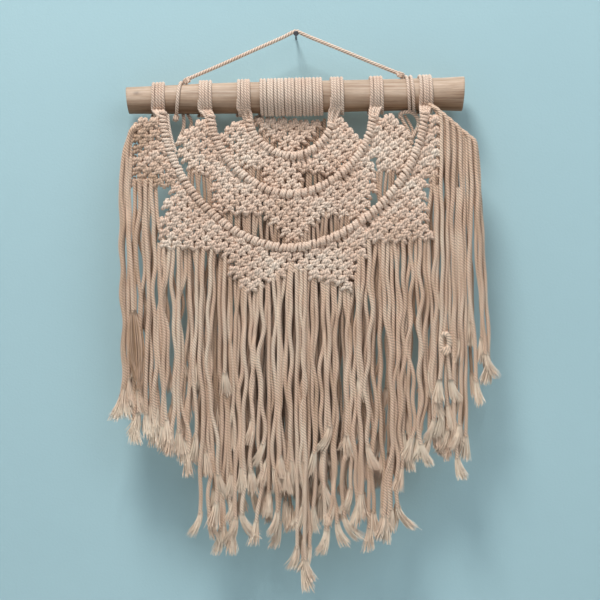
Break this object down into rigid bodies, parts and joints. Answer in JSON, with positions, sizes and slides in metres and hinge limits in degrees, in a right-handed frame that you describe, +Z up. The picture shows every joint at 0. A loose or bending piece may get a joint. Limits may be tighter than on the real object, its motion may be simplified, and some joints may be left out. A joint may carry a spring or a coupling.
{
  "type": "macrame wall hanging",
  "caption": "Knotted cotton wall hanging: stepped curtains of square knots under ribbed arcs, with a long cut fringe, on a branch dowel hung by one twisted cord.",
  "frame": {"origin": "where the hanger cord rests on its nail, at the underside of the cord's highest point", "axes": "+X to the right as seen from the room, +Y into the wall, +Z up"},
  "size_m": [0.3749, 0.0486, 0.5576],
  "materials": {
    "dowel_wood": "matte",
    "hanger_cotton": "matte",
    "wrap_cotton": "matte",
    "arc_cotton": "matte",
    "net_cotton": "matte",
    "fringe_cotton": "matte"
  },
  "bodies": {
    "hanger": {"hanger_cord": "hanger_cotton", "hanger_knot_left": "hanger_cotton", "hanger_knot_right": "hanger_cotton", "hanger_hitch_left": "hanger_cotton", "hanger_hitch_knot_left": "hanger_cotton", "hanger_tail_left": "hanger_cotton", "hanger_hitch_right": "hanger_cotton", "hanger_hitch_right_second": "hanger_cotton", "hanger_loop_right": "hanger_cotton", "hanger_end_knot": "hanger_cotton", "dowel": "dowel_wood", "mount_wrap_outer_left": "wrap_cotton", "mount_wrap_middle_left": "wrap_cotton", "mount_wrap_inner_left": "wrap_cotton", "centre_wrap": "wrap_cotton", "mount_wrap_inner_right": "wrap_cotton", "mount_wrap_middle_right": "wrap_cotton", "mount_wrap_outer_right": "wrap_cotton"},
    "centre_curtain": {"centre_net": "net_cotton", "centre_strands": "fringe_cotton"},
    "inner_curtain": {"inner_arc": "arc_cotton", "inner_net_left": "net_cotton", "inner_net_point": "net_cotton", "inner_net_right": "net_cotton", "inner_strands_left": "fringe_cotton", "inner_strands_point": "fringe_cotton", "inner_strands_right": "fringe_cotton"},
    "middle_curtain": {"middle_arc": "arc_cotton", "middle_net_left_wing": "net_cotton", "middle_net_left": "net_cotton", "middle_net_point": "net_cotton", "middle_net_right": "net_cotton", "middle_net_right_wing": "net_cotton", "middle_strands_left_wing": "fringe_cotton", "middle_strands_left": "fringe_cotton", "middle_strands_point": "fringe_cotton", "middle_strands_right": "fringe_cotton", "middle_strands_right_wing": "fringe_cotton"},
    "front_curtain": {"outer_arc": "arc_cotton", "outer_net_left_wing": "net_cotton", "outer_net_left": "net_cotton", "outer_net_left_point": "net_cotton", "outer_net_right_point": "net_cotton", "outer_net_right": "net_cotton", "outer_net_right_wing": "net_cotton", "gather_left": "fringe_cotton", "gather_middle": "fringe_cotton", "gather_right": "fringe_cotton", "shoulder_left": "fringe_cotton", "shoulder_right": "fringe_cotton"},
    "fringe_left_outer": {"fringe_left_outer": "fringe_cotton"},
    "fringe_left_wing": {"fringe_left_wing": "fringe_cotton"},
    "fringe_left": {"fringe_left": "fringe_cotton"},
    "fringe_left_point": {"fringe_left_point": "fringe_cotton"},
    "fringe_middle": {"fringe_middle": "fringe_cotton"},
    "fringe_right_point": {"fringe_right_point": "fringe_cotton"},
    "fringe_right": {"fringe_right": "fringe_cotton"},
    "fringe_right_wing": {"fringe_right_wing": "fringe_cotton"},
    "fringe_right_outer": {"fringe_right_outer": "fringe_cotton"}
  },
  "joints": [
    {"name": "swing_centre_curtain", "type": "hinge", "parent": "hanger", "child": "centre_curtain", "pos_m": [0, 0, -0.06448], "axis": [-0.9998, 0, -0.0205], "range_deg": [0, 10]},
    {"name": "swing_inner_curtain", "type": "hinge", "parent": "centre_curtain", "child": "inner_curtain", "pos_m": [0, 0, -0.06448], "axis": [-0.9998, 0, -0.0205], "range_deg": [0, 10]},
    {"name": "swing_middle_curtain", "type": "hinge", "parent": "inner_curtain", "child": "middle_curtain", "pos_m": [0, 0, -0.06448], "axis": [-0.9998, 0, -0.0205], "range_deg": [0, 15]},
    {"name": "swing_front_curtain", "type": "hinge", "parent": "middle_curtain", "child": "front_curtain", "pos_m": [0, 0, -0.06448], "axis": [-0.9998, 0, -0.0205], "range_deg": [0, 25]},
    {"name": "swing_fringe_left_outer", "type": "hinge", "parent": "front_curtain", "child": "fringe_left_outer", "pos_m": [-0.17105, -0.0245, -0.1222], "axis": [-1, 0, 0], "range_deg": [0, 22]},
    {"name": "swing_fringe_left_wing", "type": "hinge", "parent": "front_curtain", "child": "fringe_left_wing", "pos_m": [-0.1504, -0.0245, -0.1544], "axis": [-1, 0, 0], "range_deg": [0, 22]},
    {"name": "swing_fringe_left", "type": "hinge", "parent": "front_curtain", "child": "fringe_left", "pos_m": [-0.10825, -0.0245, -0.2174], "axis": [-1, 0, 0], "range_deg": [0, 22]},
    {"name": "swing_fringe_left_point", "type": "hinge", "parent": "front_curtain", "child": "fringe_left_point", "pos_m": [-0.05495, -0.0245, -0.262], "axis": [-1, 0, 0], "range_deg": [0, 22]},
    {"name": "swing_fringe_middle", "type": "hinge", "parent": "front_curtain", "child": "fringe_middle", "pos_m": [-0.0049, -0.0245, -0.262], "axis": [-1, 0, 0], "range_deg": [0, 22]},
    {"name": "swing_fringe_right_point", "type": "hinge", "parent": "front_curtain", "child": "fringe_right_point", "pos_m": [0.0477, -0.0245, -0.262], "axis": [-1, 0, 0], "range_deg": [0, 22]},
    {"name": "swing_fringe_right", "type": "hinge", "parent": "front_curtain", "child": "fringe_right", "pos_m": [0.1033, -0.0245, -0.2084], "axis": [-1, 0, 0], "range_deg": [0, 22]},
    {"name": "swing_fringe_right_wing", "type": "hinge", "parent": "front_curtain", "child": "fringe_right_wing", "pos_m": [0.1511, -0.0245, -0.1544], "axis": [-1, 0, 0], "range_deg": [0, 22]},
    {"name": "swing_fringe_right_outer", "type": "hinge", "parent": "front_curtain", "child": "fringe_right_outer", "pos_m": [0.1767, -0.0245, -0.1222], "axis": [-1, 0, 0], "range_deg": [0, 22]}
  ]
}
